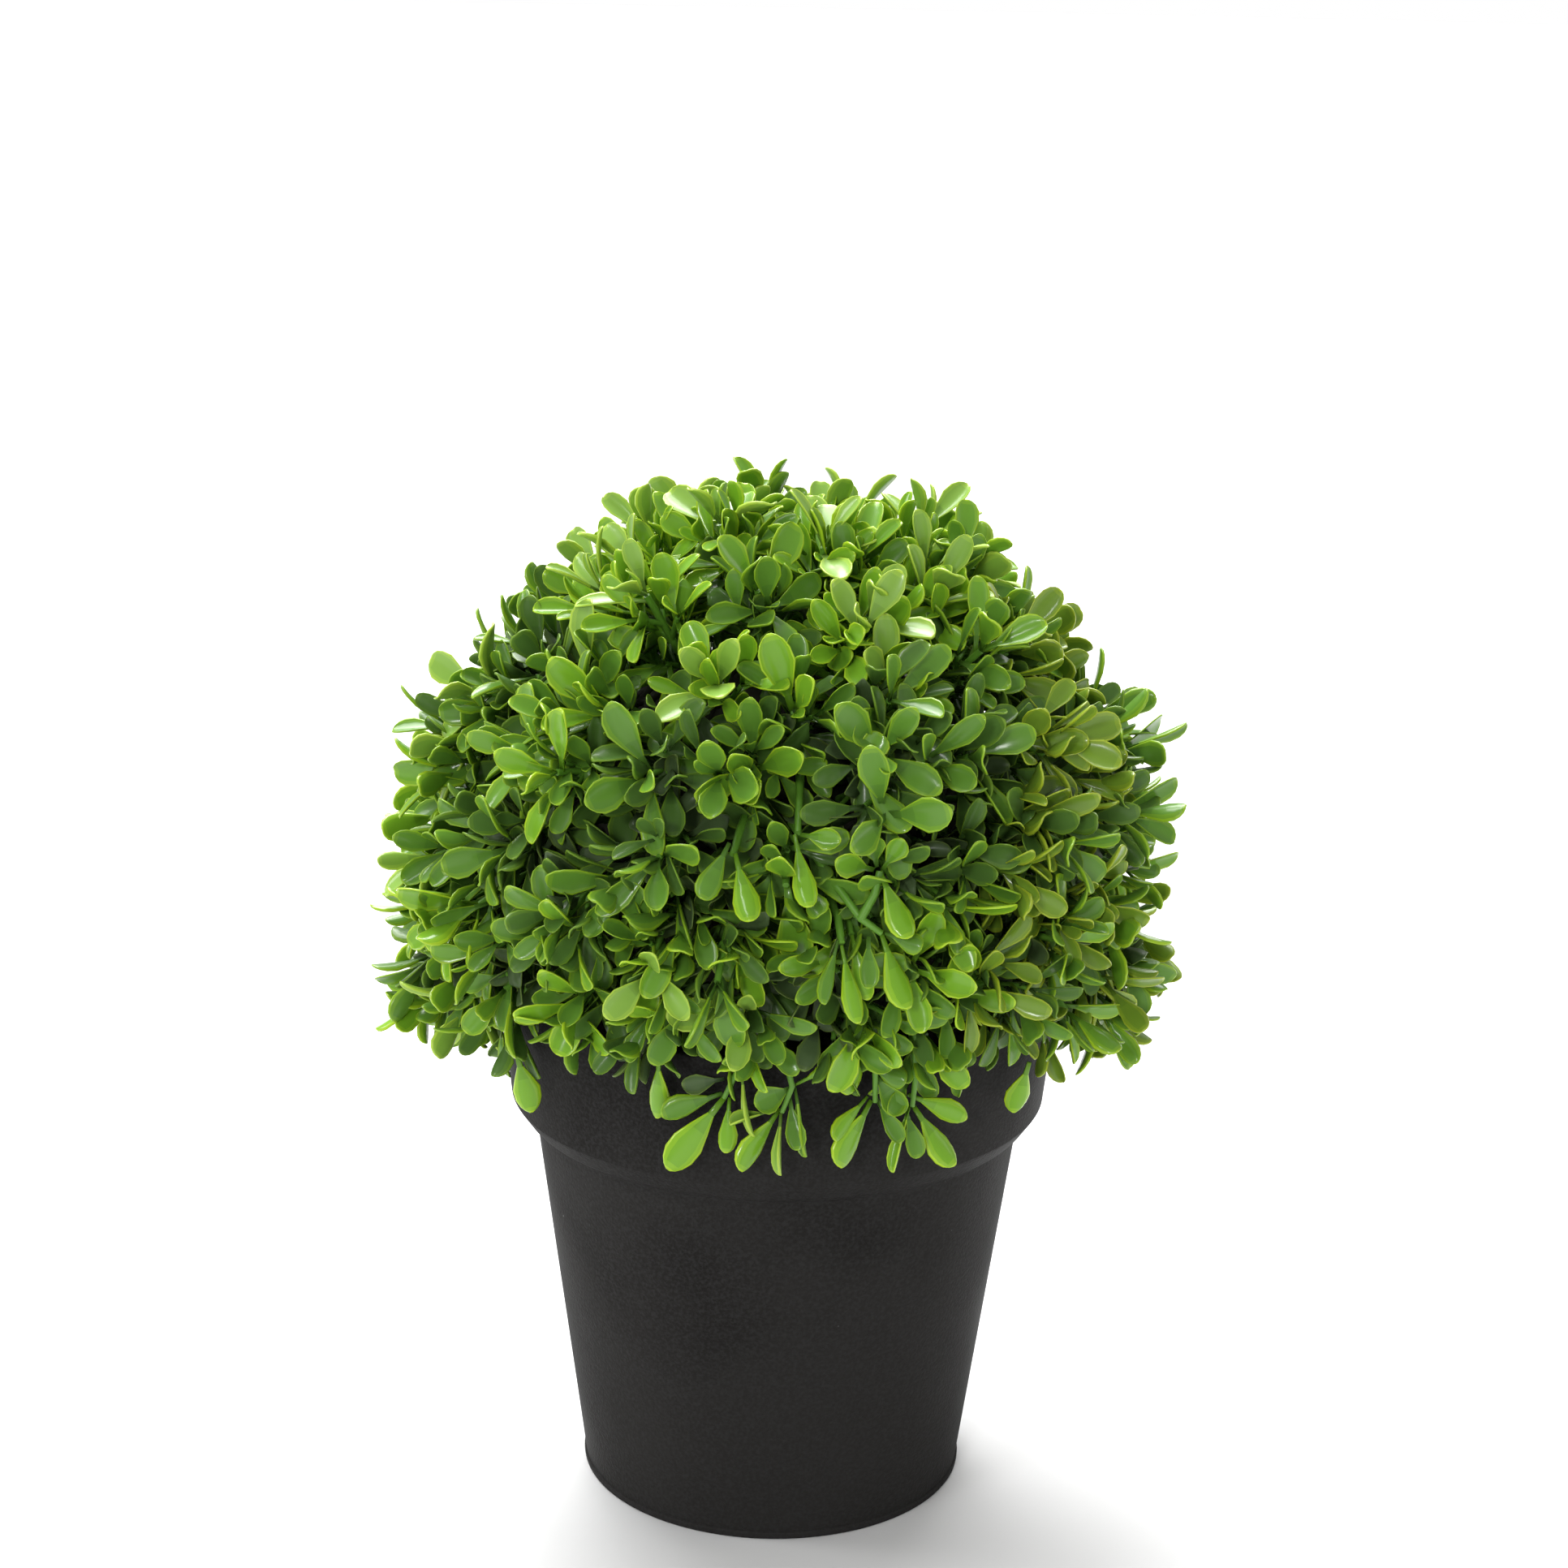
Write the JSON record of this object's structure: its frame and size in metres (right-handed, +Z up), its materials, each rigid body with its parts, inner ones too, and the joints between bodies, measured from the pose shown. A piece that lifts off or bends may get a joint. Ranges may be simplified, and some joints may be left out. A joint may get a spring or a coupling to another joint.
{
  "type": "artificial box topiary ball in pot",
  "caption": "Clipped ball of small moulded plastic box leaves, seated in the mouth of a tapered black plastic pot with a deep rim band.",
  "frame": {"origin": "centre of the pot's flat underside", "axes": "+Z up along the pot's axis, -Y towards the front, where the hanging sprigs are"},
  "size_m": [0.1813, 0.1843, 0.2369],
  "materials": {
    "pot_plastic": "black moulded plastic with a fine matte grain",
    "fill": "dark rough plug",
    "stem_plastic": "dark green moulded plastic",
    "leaves": "mid-green moulded plastic leaves with a satin gloss and paler margins"
  },
  "bodies": {
    "root": {"pot": "pot_plastic", "pot_fill": "fill", "stem": "stem_plastic", "foliage_ball": "leaves", "hanging_sprig_1": "leaves", "hanging_sprig_2": "leaves", "hanging_sprig_3": "leaves", "hanging_sprig_4": "leaves"}
  },
  "joints": []
}
